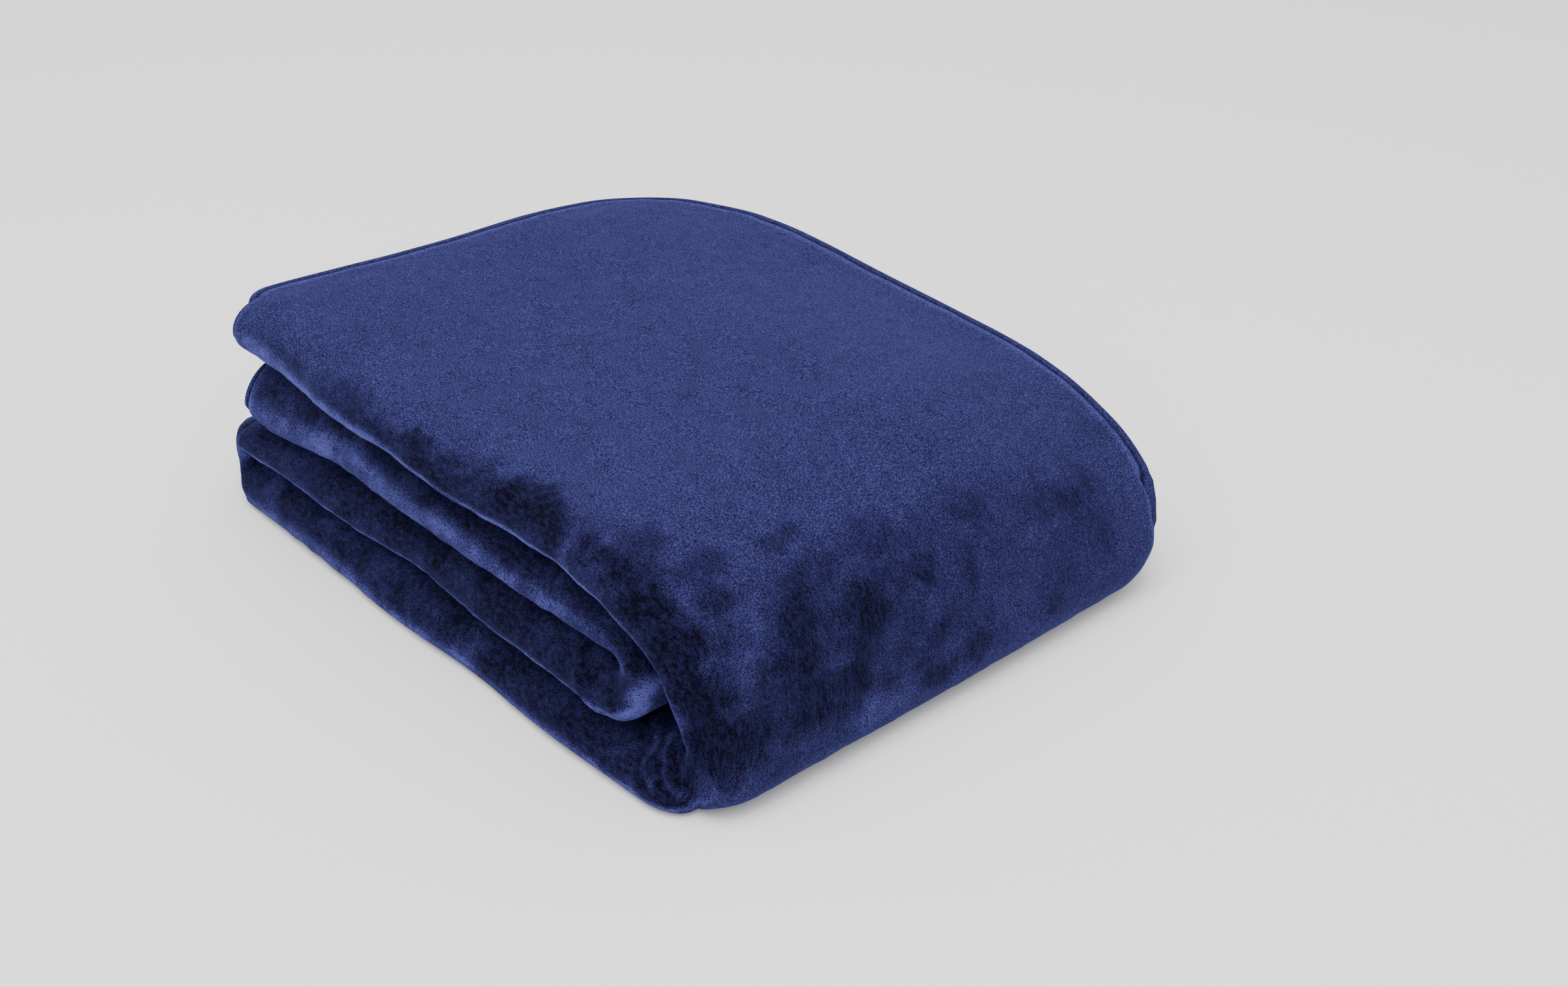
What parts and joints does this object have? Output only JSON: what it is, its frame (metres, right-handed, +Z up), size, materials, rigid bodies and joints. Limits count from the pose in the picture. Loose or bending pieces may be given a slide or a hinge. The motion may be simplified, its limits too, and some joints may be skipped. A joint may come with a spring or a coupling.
{
  "type": "fleece blanket",
  "caption": "Plush fleece throw blanket, folded lengthwise and crosswise into a thick soft stack with a large rounded front fold and stitched hem edges.",
  "frame": {"origin": "on the floor under the middle of the folded stack", "axes": "+X towards the big fold at the front end, +Y towards the long hem edges, +Z up"},
  "size_m": [0.4242, 0.3368, 0.1288],
  "materials": {
    "fleece": "navy blue plush pile, both faces"
  },
  "bodies": {
    "root": {"blanket": "fleece"}
  },
  "joints": []
}
